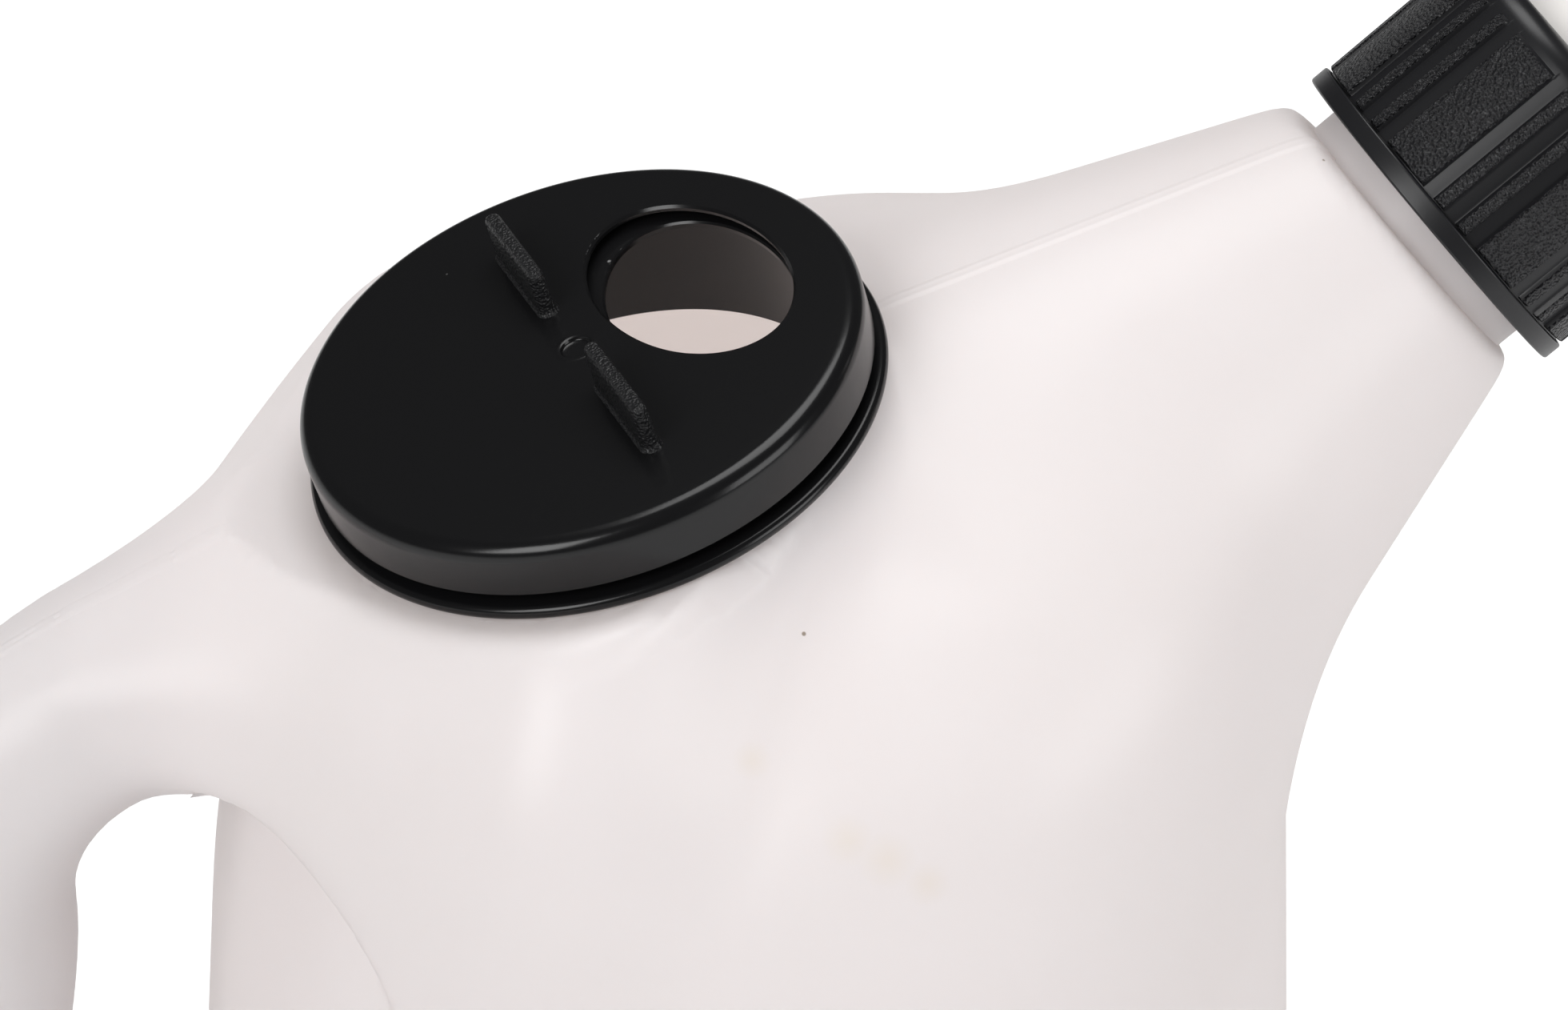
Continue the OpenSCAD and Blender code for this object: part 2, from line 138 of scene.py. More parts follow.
# Levels on the lid, below its top face, and along the neck, from the body's middle
BASE_DISC_TOP = COVER_T + DISC_GAP
FLANGE_TOP = COVER_H + RIM_GAP
SEAT_DEPTH = FLANGE_TOP + FLANGE_T
SKIRT_R = SKIRT_IN_R + SKIRT_T
MOUTH_R = SKIRT_R + MOUTH_GAP
COVER_IN_R = COVER_R - COVER_T
BASE_DISC_R = COVER_IN_R - MOUTH_GAP
BOSS_BOTTOM = BASE_DISC_TOP + BOSS_H
PEG_BOTTOM = BOSS_BOTTOM + PLAY + PEG_HEAD_H
COLLAR_FROM = CONE_REACH + NECK_SHOW
COLLAR_TO = COLLAR_FROM + COLLAR_L
NECK_TO = CONE_REACH + NECK_L
WASHER_TO = NECK_TO + WASHER_T
SPOUT_FLANGE_TO = WASHER_TO + SPOUT_FLANGE_T
COLLAR_CORE_R = COLLAR_R - 0.4 - RIB_H
SEAT_REACH = float((LID_TOP - MIDDLE) @ LID_DIR) - SEAT_DEPTH

ON_LID = Matrix.Translation(Vector(LID_TOP)) @ Matrix.Rotation(-LID_TILT, 4, "Y")
ON_NECK = Matrix.Translation(Vector(MIDDLE)) @ Matrix.Rotation(math.pi / 2 - NECK_TILT, 4, "Y")


# Shape rules of the body

def smooth(x, a, b):
    t = np.clip((x - a) / (b - a), 0, 1)
    return t * t * (3 - 2 * t)


def soft_max(a, b, k):
    return np.maximum(a, b) + np.maximum(k - np.abs(a - b), 0) ** 2 / (4 * k)


def eased_min(a, b, k):
    return -soft_max(-a, -b, k)


def soft_min(a, b, q):
    return a * (1 + (a / b) ** q) ** (-1 / q)


def round_radius(z):
    return np.interp(z, [NARROW_FROM, SHOULDER_H], [BASE_R, SHOULDER_R])


def wall_reach(d):
    """Distance from the middle to the round wall along each direction."""
    reach = np.full(len(d), 100.0)
    flat = np.maximum(d[:, 0] ** 2 + d[:, 1] ** 2, 1e-4)
    lean = MIDDLE[0] * d[:, 0]
    for _ in range(12):
        big = round_radius(MIDDLE[2] + reach * d[:, 2])
        reach = np.minimum((-lean + np.sqrt(lean ** 2 + flat * (big ** 2 - MIDDLE[0] ** 2))) / flat, 500)
    return reach


def round_body(d, drop):
    reach = wall_reach(d)
    rise = d @ LID_DIR
    top = TOP_REACH / np.maximum(rise, 0.001)
    under = (MIDDLE[2] + drop) / np.maximum(-d[:, 2], 0.001)
    below = soft_min(reach, np.where(d[:, 2] < -0.01, under, 1e6), BASE_SHARPNESS)
    return np.where(rise > 0.01, soft_min(reach, top, SHOULDER_SHARPNESS), below)


def cone_body(d, n, t, reach, end_r, low, high, wide, edge=None):
    """Distance to a flared cone round axis n, with a flat or softly edged end face."""
    up = d @ t
    across = np.maximum(np.hypot(up, d[:, 1] / wide), 1e-6)
    along = d @ n
    flare = np.tan(np.radians((low + high) / 2 + (high - low) / 2 * up / across))
    tip = reach + end_r / flare
    side = tip * flare / np.maximum(across + along * flare, 1e-6)
    face = reach / np.maximum(along, 0.001)
    ended = np.minimum(side, face) if edge is None else soft_min(side, face, edge)
    return np.clip(np.where(along > 0, ended, 1), 1, 400) * smooth(along, 0.1, 0.75)


def skin_reach(d, drop=FLOOR_DROP, pocket=False):
    """Distance from the middle to the body's skin along each direction."""
    bare = round_body(d, drop)
    cone = cone_body(d, CONE_DIR, CONE_UP, CONE_REACH, CONE_END_R, CONE_LOW, CONE_HIGH, 1, CONE_EDGE_SHARPNESS)
    full = soft_max(bare, cone, CONE_BLEND)
    web = cone_body(d, WEB_DIR, WEB_UP, WEB_REACH, WEB_END_R, WEB_LOW, WEB_HIGH, WEB_WIDTH)
    full = soft_max(full, web, WEB_BLEND)
    rise = d @ LID_DIR
    lean = rise - DISH_SLOPE * np.sqrt(np.maximum(1 - rise ** 2, 0))
    dish = (SEAT_REACH - DISH_SLOPE * DISH_FROM) / np.maximum(lean, 0.05)
    full = np.where(lean > 0.05, eased_min(full, np.minimum(dish, 400), DISH_BLEND), full)
    if not pocket:
        return full
    wall = wall_reach(d)
    y = np.abs(d[:, 1] * wall)
    z = MIDDLE[2] + d[:, 2] * wall + POCKET_DIP * np.exp(-(y / POCKET_DIP_WIDTH) ** 2)
    out_y = np.maximum(y - (POCKET_HALF - POCKET_ROUND_Y), 0) / POCKET_ROUND_Y
    out_z = np.maximum(z - (POCKET_TOP - POCKET_ROUND_Z), 0) / POCKET_ROUND_Z
    off = (np.hypot(out_y, out_z) - 1) * POCKET_ROUND_Y
    shut = smooth(off, -POCKET_EDGE, POCKET_EDGE)
    shut = np.where(d[:, 0] < 0, shut, 1)
    return bare + (full - bare) * shut


def handle_line():
    """Middle line of the handle as rows of x, z and radius."""
    corner_z = MIDDLE[2] + RUN_REACH / math.cos(LID_TILT) - GRIP_X * math.tan(LID_TILT)
    bend = UPPER_BEND * math.tan((math.pi / 2 - LID_TILT) / 2)
    upper = np.array([-GRIP_X + UPPER_BEND, corner_z - bend])
    lower = np.array([-GRIP_X + LOWER_BEND, LOWER_RUN_Z + LOWER_BEND])
    rows = []
    root = np.array([RUN_ROOT_X, corner_z + (GRIP_X + RUN_ROOT_X) * math.tan(LID_TILT)])
    first = upper + UPPER_BEND * np.array([-math.sin(LID_TILT), math.cos(LID_TILT)])
    for s in np.linspace(0, 1, 12, endpoint=False):
        rows.append([*(root + (first - root) * s), RUN_R])
    for a in np.linspace(math.pi / 2 + LID_TILT, math.pi, 20, endpoint=False):
        share = smooth(a, math.pi / 2 + LID_TILT, math.pi)
        r = RUN_R + (GRIP_R + UPPER_SWELL - RUN_R) * share
        rows.append([*(upper + UPPER_BEND * np.array([math.cos(a), math.sin(a)])), r])
    for s in np.linspace(0, 1, 20, endpoint=False):
        z = upper[1] + (lower[1] - upper[1]) * s
        rows.append([-GRIP_X, z, GRIP_R + UPPER_SWELL * (1 - smooth(s, 0, 0.6))])
    for a in np.linspace(math.pi, 1.5 * math.pi, 20, endpoint=False):
        r = GRIP_R + LOWER_SWELL * smooth(a, 3.2, 4.7)
        rows.append([*(lower + LOWER_BEND * np.array([math.cos(a), math.sin(a)])), r])
    for x in np.linspace(lower[0], LOWER_ROOT_X, 8):
        r = GRIP_R + LOWER_SWELL + ROOT_SWELL * smooth(x, lower[0], LOWER_ROOT_X)
        rows.append([x, LOWER_RUN_Z, r])
    return np.array(rows)


HANDLE = handle_line()


def handle_distance(p, less=0.0):
    """Distance of points to the handle's tube, negative inside."""
    best = np.full(len(p), 1e6)
    for x, z, r in HANDLE:
        flat = np.hypot(p[:, 0] - x, p[:, 2] - z)
        best = np.minimum(best, np.hypot(flat, p[:, 1] / GRIP_WIDTH) - (r - less))
    return best


def ridge_lift(p):
    """Height of the parting ridge over the skin: two beads with a line between them."""
    y = np.abs(p[:, 1])
    bead = np.clip(1 - (y / RIDGE_HALF) ** 2, 0, 1) ** 0.5 * RIDGE_H
    groove = np.exp(-(y / RIDGE_GROOVE) ** 2) * RIDGE_GROOVE_DEPTH
    top = smooth(p[:, 2], RIDGE_FROM_Z, RIDGE_FULL_Z)
    return (bead - groove) * top


def jug_distance(p):
    """Signed distance of points to the jug's outer skin, negative inside."""
    v = p - MIDDLE
    far = np.linalg.norm(v, axis=1)
    skin = (far - skin_reach(v / far[:, None], FLOOR_DROP, True)) * SLANT_SHARE
    tube = np.full(len(p), 1e3)
    near = p[:, 0] < -60
    tube[near] = handle_distance(p[near])
    k = HANDLE_BLEND
    both = np.minimum(skin, tube) - np.maximum(k - np.abs(skin - tube), 0) ** 2 / (4 * k)
    both = both - ridge_lift(p)
    above = p[:, 2] > 180
    q = p[above] - LID_TOP
    level = q @ LID_DIR
    flat = q - level[:, None] * LID_DIR
    off = np.linalg.norm(flat, axis=1)
    ring = np.maximum(off - MOUTH_R - MOUTH_WALL, level + SEAT_DEPTH)
    k = MOUTH_BLEND_FRONT + MOUTH_BLEND * (flat[:, 1] / np.maximum(off, 1)) ** 2
    over_dish = (level + SEAT_DEPTH - DISH_SLOPE * (off - DISH_FROM)) * SLANT_SHARE
    bare = np.maximum(both[above], over_dish)
    eased = np.minimum(bare, ring) - np.maximum(k - np.abs(bare - ring), 0) ** 2 / (4 * k)
    both[above] = np.minimum(bare, np.maximum(eased, level + SEAT_DEPTH))
    return both


def settle(p, rule, rounds=3, step=0.05):
    """Moves points along the rule's slope until they lie on its zero surface."""
    for _ in range(rounds):
        f = rule(p)
        slope = np.stack([(rule(p + step * e) - f) / step for e in np.eye(3)], axis=1)
        size = np.maximum((slope ** 2).sum(axis=1), 0.2)
        move = -(f / size)[:, None] * slope
        length = np.linalg.norm(move, axis=1)
        p = p + move * np.minimum(1, 3.0 / np.maximum(length, 1e-9))[:, None]
    return p


# Mesh helpers

def new_object(name, points, faces, place=Matrix.Identity(4)):
    mesh = bpy.data.meshes.new(name)
    mesh.from_pydata([tuple(p) for p in np.asarray(points) * MM], [], [tuple(int(i) for i in f) for f in faces])
    place = place.copy()
    place.translation = place.translation * MM
    mesh.transform(place)
    mesh.update()
    obj = bpy.data.objects.new(name, mesh)
    bpy.context.scene.collection.objects.link(obj)
    return obj


def face_out(obj):
    """Turns every face outwards."""
    bm = bmesh.new()
    bm.from_mesh(obj.data)
    bmesh.ops.remove_doubles(bm, verts=bm.verts, dist=1e-7)
    bmesh.ops.recalc_face_normals(bm, faces=bm.faces)
    bm.to_mesh(obj.data)
    bm.free()
    obj.data.update()


def shade(obj, angle=32):
    obj.data.polygons.foreach_set("use_smooth", [True] * len(obj.data.polygons))
    obj.data.set_sharp_from_angle(angle=math.radians(angle))
    obj.data.update()


def even_normals(obj):
    """Lets the large flat faces set the shading beside a rounded edge."""
    mod = obj.modifiers.new("even", "WEIGHTED_NORMAL")
    mod.keep_sharp = True
    apply_modifiers(obj)


def ring_faces(rings, sides, first=0, wrap=False):
    faces = []
    for i in range(rings if wrap else rings - 1):
        a = first + i * sides
        b = first + ((i + 1) % rings) * sides
        faces += [(a + j, b + j, b + (j + 1) % sides, a + (j + 1) % sides) for j in range(sides)]
    return faces


def skin_grid(columns, rows, less, drop, pocket=False):
    """Closed mesh of the body's skin, with its poles on the neck's axis."""
    off = np.linspace(0, math.pi, rows + 1)[1:-1]
    turn = np.linspace(0, 2 * math.pi, columns, endpoint=False)
    o, t = np.meshgrid(off, turn, indexing="ij")
    across = CONE_UP * np.cos(t)[..., None] + np.array([0, 1.0, 0]) * np.sin(t)[..., None]
    d = (CONE_DIR * np.cos(o)[..., None] + across * np.sin(o)[..., None]).reshape(-1, 3)
    points = MIDDLE + d * (skin_reach(d, drop, pocket) - less)[:, None]
    poles = [MIDDLE + n * (skin_reach(n[None], drop, pocket)[0] - less) for n in (CONE_DIR, -CONE_DIR)]
    points = np.vstack([points, poles])
    faces = ring_faces(rows - 1, columns)
    top, bottom, last = len(points) - 2, len(points) - 1, (rows - 2) * columns
    faces += [(top, j, (j + 1) % columns) for j in range(columns)]
    faces += [(bottom, last + (j + 1) % columns, last + j) for j in range(columns)]
    return points, faces


def handle_grid(sides, less, longer):
    """Closed mesh of the handle's tube."""
    line = HANDLE
    run = np.gradient(line[:, :2], axis=0)
    run /= np.linalg.norm(run, axis=1)[:, None]
    centre = line[:, :2].copy()
    centre[0] -= run[0] * longer
    centre[-1] += run[-1] * longer
    turn = np.linspace(0, 2 * math.pi, sides, endpoint=False)
    points = []
    for (x, z), (dx, dz), r in zip(centre, run, line[:, 2]):
        for a in turn:
            lift = (r - less) * math.cos(a)
            points.append([x - lift * dz, (r * GRIP_WIDTH - less) * math.sin(a), z + lift * dx])
    faces = ring_faces(len(line), sides)
    last = (len(line) - 1) * sides
    faces += [tuple(range(sides))[::-1], tuple(last + j for j in range(sides))]
    return np.array(points), faces


def solid(name, grid, place=Matrix.Identity(4)):
    obj = new_object(name, *grid, place)
    face_out(obj)
    return obj


def lathe(name, profile, place, sides=256):
    """Solid of revolution from a closed outline of radius and level."""
    turn = np.linspace(0, 2 * math.pi, sides, endpoint=False)
    points = [[r * math.cos(a), r * math.sin(a), z] for r, z in profile for a in turn]
    return solid(name, (np.array(points), ring_faces(len(profile), sides, wrap=True)), place)


def arc(cx, cy, r, a0, a1, n=6):
    """Points of an arc in an outline, angles in degrees."""
    return [(cx + r * math.cos(math.radians(a)), cy + r * math.sin(math.radians(a))) for a in np.linspace(a0, a1, n)]


def combine(obj, other, how):
    """Boolean of two closed solids, and the second one goes."""
    mod = obj.modifiers.new("cut", "BOOLEAN")
    mod.object = other
    mod.operation = how
    mod.solver = "MANIFOLD"
    apply_modifiers(obj)
    bpy.data.objects.remove(other)
    return obj


def apply_modifiers(obj):
    graph = bpy.context.evaluated_depsgraph_get()
    mesh = bpy.data.meshes.new_from_object(obj.evaluated_get(graph))
    old = obj.data
    obj.modifiers.clear()
    obj.data = mesh
    bpy.data.meshes.remove(old)


def join(name, objects):
    """One object from several, with their slots kept."""
    bm = bmesh.new()
    slots = []
    for obj in objects:
        shift = len(slots)
        slots += list(obj.data.materials)
        start = len(bm.faces)
        bm.from_mesh(obj.data)
        bm.faces.ensure_lookup_table()
        for face in bm.faces[start:]:
            face.material_index += shift
    mesh = bpy.data.meshes.new(name)
    bm.to_mesh(mesh)
    bm.free()
    for mat in slots:
        mesh.materials.append(mat)
    for obj in objects:
        bpy.data.objects.remove(obj)
    out = bpy.data.objects.new(name, mesh)
    bpy.context.scene.collection.objects.link(out)
    return out


# Materials

def material(name, color, roughness, **extra):
    mat = bpy.data.materials.new(name)
    mat.use_nodes = True
    shader = mat.node_tree.nodes["Principled BSDF"]
    shader.inputs["Base Color"].default_value = (*color, 1)
    shader.inputs["Roughness"].default_value = roughness
    for key, value in extra.items():
        shader.inputs[key.replace("_", " ")].default_value = value
    return mat, mat.node_tree, shader


def node(tree, kind, inputs=None, **settings):
    n = tree.nodes.new(kind)
    for key, value in settings.items():
        setattr(n, key, value)
    for key, value in (inputs or {}).items():
        if isinstance(value, bpy.types.NodeSocket):
            tree.links.new(value, n.inputs[key])
        else:
            n.inputs[key].default_value = value
    return n


def place_of(tree):
    return node(tree, "ShaderNodeTexCoord").outputs["Object"]


def bump(tree, shader, height, strength, distance):
    b = node(tree, "ShaderNodeBump", {"Strength": strength, "Distance": distance, "Height": height})
    tree.links.new(b.outputs["Normal"], shader.inputs["Normal"])


def spots(tree, marks, soft):
    """One at any of several small spots."""
    most = spot(tree, *marks[0], soft)
    for at, radius in marks[1:]:
        pair = {0: most, 1: spot(tree, at, radius, soft)}
        most = node(tree, "ShaderNodeMath", pair, operation="MAXIMUM").outputs["Value"]
    return most


def spot(tree, at, radius, soft):
    """One at a small spot round a point, zero elsewhere."""
    gap = node(tree, "ShaderNodeVectorMath", {0: place_of(tree), 1: tuple(np.array(at) * MM)}, operation="DISTANCE")
    return node(tree, "ShaderNodeMapRange", {
        "Value": gap.outputs["Value"], "From Min": radius * MM, "From Max": radius * soft * MM,
        "To Min": 0.0, "To Max": 1.0}).outputs["Result"]


def tint(tree, below, above, factor):
    m = node(tree, "ShaderNodeMix", {0: factor, 6: below, 7: above}, data_type="RGBA")
    return m.outputs[2]


def body_plastic(name, glow):
    """Translucent natural polyethylene with a faint mottle, yellowish marks and two specks; glow sets a painted glow,
    painted light used on the inner skin in place of light shining through the wall.
    """
    mat, tree, shader = material(name, (0.83, 0.80, 0.805), 0.36)
    # Painted glow: an emission that stands in for light shining through the wall, zero on the outer skin
    shader.inputs["Emission Color"].default_value = (1.0, 0.93, 0.87, 1)
    shader.inputs["Emission Strength"].default_value = glow
    shader.inputs["Subsurface Weight"].default_value = 0.3
    shader.inputs["Subsurface Radius"].default_value = (1.0, 0.9, 0.85)
    shader.inputs["Subsurface Scale"].default_value = 0.006
    shader.inputs["Specular IOR Level"].default_value = 0.42
    place = place_of(tree)
    cloud = node(tree, "ShaderNodeTexNoise", {"Vector": place, "Scale": 14.0, "Detail": 3.0})
    mark = node(tree, "ShaderNodeMapRange", {"Value": cloud.outputs["Fac"], "From Min": 0.4, "From Max": 0.75})
    color = tint(tree, (0.865, 0.83, 0.84, 1), (0.83, 0.795, 0.80, 1), mark.outputs["Result"])
    color = tint(tree, color, (0.22, 0.17, 0.12, 1), spots(tree, SPECKS, 0.6))
    stained = node(tree, "ShaderNodeMath", {0: spots(tree, STAINS, 0.1), 1: 0.35}, operation="MULTIPLY")
    color = tint(tree, color, (0.80, 0.72, 0.60, 1), stained.outputs["Value"])
    tree.links.new(color, shader.inputs["Base Color"])
    fine = node(tree, "ShaderNodeTexNoise", {"Vector": place, "Scale": 900.0, "Detail": 2.0})
    bump(tree, shader, fine.outputs["Fac"], 0.05, 0.0002)
    through = node(tree, "ShaderNodeBsdfTranslucent", {"Color": (0.96, 0.925, 0.90, 1)})
    mix = node(tree, "ShaderNodeMixShader", {0: 0.3, 1: shader.outputs[0], 2: through.outputs[0]})
    tree.links.new(mix.outputs[0], tree.nodes["Material Output"].inputs["Surface"])
    return mat


def lid_plastic():
    """Satin black with sparse pale dust."""
    mat, tree, shader = material("black_lid_plastic", (0.006, 0.006, 0.0065), 0.2)
    shader.inputs["Specular IOR Level"].default_value = 0.4
    place = place_of(tree)
    cells = node(tree, "ShaderNodeTexVoronoi", {"Vector": place, "Scale": 150.0, "Randomness": 1.0})
    dot = node(tree, "ShaderNodeMapRange", {
        "Value": cells.outputs["Distance"], "From Min": 0.075, "From Max": 0.03, "To Min": 0.0, "To Max": 1.0})
    few = node(tree, "ShaderNodeSeparateColor", {"Color": cells.outputs["Color"]})
    keep = node(tree, "ShaderNodeMath", {0: few.outputs["Red"], 1: 0.86}, operation="GREATER_THAN")
    both = node(tree, "ShaderNodeMath", {0: dot.outputs["Result"], 1: keep.outputs["Value"]}, operation="MULTIPLY")
    color = tint(tree, (0.006, 0.006, 0.0065, 1), (0.35, 0.35, 0.35, 1), both.outputs["Value"])
    tree.links.new(color, shader.inputs["Base Color"])
    fine = node(tree, "ShaderNodeTexNoise", {"Vector": place, "Scale": 700.0, "Detail": 2.0})
    bump(tree, shader, fine.outputs["Fac"], 0.04, 0.0002)
    return mat


def grained_plastic(name, color, scale, strength, distance, roughness):
    """Black plastic with the fine grain of a spark-eroded mould."""
    mat, tree, shader = material(name, color, roughness)
    cells = node(tree, "ShaderNodeTexVoronoi", {"Vector": place_of(tree), "Scale": scale, "Randomness": 1.0},
                 feature="SMOOTH_F1")
    bump(tree, shader, cells.outputs["Distance"], strength, distance)
    return mat


def plain_plastic(name, color, roughness):
    mat, tree, shader = material(name, color, roughness)
    fine = node(tree, "ShaderNodeTexNoise", {"Vector": place_of(tree), "Scale": 500.0, "Detail": 2.0})
    bump(tree, shader, fine.outputs["Fac"], 0.05, 0.0002)
    return mat


# Sub-parts

def dress(obj, body, nodes, slot, *mats):
    if mats:
        obj.data.materials.clear()
    for mat in mats:
        obj.data.materials.append(mat)
    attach(obj, body)
    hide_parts(*nodes)
    return obj


def fine_skin():
    """The jug's outer skin as one fine closed mesh, with the handle run into it."""
    body = solid("jug_skin", skin_grid(160, 110, 0, FLOOR_DROP))
    tube = solid("jug_tube", handle_grid(40, 0, 0))
    out_r = MOUTH_R + MOUTH_WALL
    outline = [(20.0, -SKIRT_DEPTH), (out_r, -SKIRT_DEPTH), (out_r, -SEAT_DEPTH), (20.0, -SEAT_DEPTH)]
    rim = lathe("jug_rim", outline, ON_LID, 96)
    skin = join("jug_skin", [body, tube, rim])
    mod = skin.modifiers.new("remesh", "REMESH")
    mod.mode = "VOXEL"
    mod.voxel_size = 2.0 * MM
    apply_modifiers(skin)
    points = np.empty(len(skin.data.vertices) * 3)
    skin.data.vertices.foreach_get("co", points)
    points = settle(points.reshape(-1, 3) / MM, jug_distance, 5)
    skin.data.vertices.foreach_set("co", (points * MM).ravel())
    split_near_ridge(skin)
    return skin


def split_near_ridge(skin):
    """Finer faces along the parting ridge, settled on the skin again."""
    for width in (4.0, 2.6):
        bm = bmesh.new()
        bm.from_mesh(skin.data)
        edges = [e for e in bm.edges if all(abs(v.co.y) < width * MM and v.co.z > 0.15 for v in e.verts)]
        bmesh.ops.subdivide_edges(bm, edges=edges, cuts=1, use_grid_fill=True)
        bmesh.ops.triangulate(bm, faces=[f for f in bm.faces if len(f.verts) > 4])
        bm.to_mesh(skin.data)
        bm.free()
    points = np.empty(len(skin.data.vertices) * 3)
    skin.data.vertices.foreach_get("co", points)
    points = points.reshape(-1, 3) / MM
    near = (np.abs(points[:, 1]) < 6) & (points[:, 2] > 148)
    points[near] = settle(points[near], jug_distance, 3)
    skin.data.vertices.foreach_set("co", (points * MM).ravel())
    skin.data.update()


def make_body(mat, inside):
    jug = fine_skin()
    mouth_out = MOUTH_R + MOUTH_WALL
    edge = arc(mouth_out - 1, -SEAT_DEPTH - 1, 1, 0, 90, 5)
    ring = [(2.0, -SKIRT_DEPTH), (mouth_out, -SKIRT_DEPTH), *edge, (2.0, -SEAT_DEPTH)]
    combine(jug, lathe("ring", ring, ON_LID, 192), "UNION")
    root = CONE_REACH - 12
    edge = arc(NECK_R - 0.8, NECK_TO - 0.8, 0.8, 0, 90, 4)
    neck = [(1.0, root), (NECK_R, root), *edge, (1.0, NECK_TO)]
    combine(jug, lathe("neck", neck, ON_NECK, 192), "UNION")
    core = solid("core", skin_grid(240, 180, WALL, -WALL, True))
    combine(jug, core, "DIFFERENCE")
    combine(jug, solid("tube_core", handle_grid(28, WALL, 8)), "DIFFERENCE")
    cuts = (("mouth", MOUTH_R, -SKIRT_DEPTH - 20, 5, ON_LID, 192),
            ("seat", FLANGE_R + MOUTH_GAP, -SEAT_DEPTH, 20, ON_LID, 256),
            ("bore", NECK_R - NECK_WALL, CONE_REACH - 24, NECK_TO + 2, ON_NECK, 128))
    for name, r, low, high, place, sides in cuts:
        rod = lathe(name, [(0.5, low), (r, low), (r, high), (0.5, high)], place, sides)
        combine(jug, rod, "DIFFERENCE")
    jug.name = "jug_blown_body"
    shade(jug, 38)
    dress(jug, "jug", ["jug_body"], "natural_plastic", mat, inside)
    # Faces of the inner skin take the second material, the copy with the painted glow
    centres = np.empty(len(jug.data.polygons) * 3)
    jug.data.polygons.foreach_get("center", centres)
    v = centres.reshape(-1, 3) / MM - MIDDLE
    far = np.linalg.norm(v, axis=1)
    deep = far < skin_reach(v / far[:, None], FLOOR_DROP, True) - 0.8 * WALL
    jug.data.polygons.foreach_set("material_index", deep.astype(np.int32))
    jug.data.update()
    return jug


def make_thread(mat):
    """Raised thread on the neck, which shows when the collar is off its seat."""
    turns, per_turn = THREAD_TURNS, 72
    start = CONE_REACH + NECK_SHOW + 4
    outline = [(-1.1, -0.3), (-0.45, THREAD_H), (0.45, THREAD_H), (1.1, -0.3)]
    points = []
    rings = int(turns * per_turn) + 1
    for i in range(rings):
        a = 2 * math.pi * i / per_turn
        fade = min(1, i / 12, (rings - 1 - i) / 12)
        for along, lift in outline:
            r = NECK_R + (lift * fade if lift > 0 else lift)
            points.append([r * math.cos(a), r * math.sin(a), start + THREAD_PITCH * a / (2 * math.pi) + along])
    faces = ring_faces(rings, 4) + [(3, 2, 1, 0), tuple(4 * (rings - 1) + k for k in range(4))]
    obj = solid("neck_thread", (np.array(points), faces), ON_NECK)
    shade(obj, 40)
    obj.data.materials.append(mat)
    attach(obj, "jug")
    return obj


def oval_cutter(turn, low, high, flare):
    """Cutter for the oval opening, wider at its ends so that the hole's edges come out rounded."""
    steps = [(low - 1, flare), (low, flare)]
    steps += [(low + flare * math.sin(a), flare * (1 - math.sin(a))) for a in np.linspace(0.3, math.pi / 2, 4)]
    steps += [(high - flare * math.sin(a), flare * (1 - math.sin(a))) for a in np.linspace(math.pi / 2, 0.3, 4)]
    steps += [(high, flare), (high + 1, flare)]
    points = []
    tilt = math.radians(HOLE_ANGLE + turn)
    for z, more in steps:
        for a in np.linspace(0, 2 * math.pi, 128, endpoint=False):
            x = HOLE_OFFSET + (HOLE_WIDE + more) * math.cos(a)
            y = (HOLE_LONG + more) * math.sin(a)
            points.append([x * math.cos(tilt) - y * math.sin(tilt), x * math.sin(tilt) + y * math.cos(tilt), z])
    last = (len(steps) - 1) * 128
    faces = ring_faces(len(steps), 128) + [tuple(range(128))[::-1], tuple(last + j for j in range(128))]
    return solid("oval", (np.array(points), faces), ON_LID)


def make_fin(side):
    """One finger fin with a flared foot and rounded top edges."""
    half = FIN_T / 2
    levels = [(-0.8, 0.7), (0.0, 0.55), (0.25, 0.25), (0.7, 0.05), (1.2, 0.0), (FIN_H - 1.3, -0.06),
              (FIN_H - 0.75, -0.12), (FIN_H - 0.35, -0.32), (FIN_H - 0.1, -0.6), (FIN_H, -0.95)]
    turn = math.radians(FIN_ANGLE + side)
    rings, points = 40, []
    for z, more in levels:
        r = half + more
        outline = arc(FIN_TO - half, 0, r, -90, 90, rings // 2) + arc(FIN_FROM + half, 0, r, 90, 270, rings // 2)
        for x, y in outline:
            points.append([x * math.cos(turn) - y * math.sin(turn), x * math.sin(turn) + y * math.cos(turn), z])
    last = (len(levels) - 1) * rings
    faces = ring_faces(len(levels), rings) + [tuple(range(rings))[::-1], tuple(last + j for j in range(rings))]
    return solid("fin", (np.array(points), faces), ON_LID)


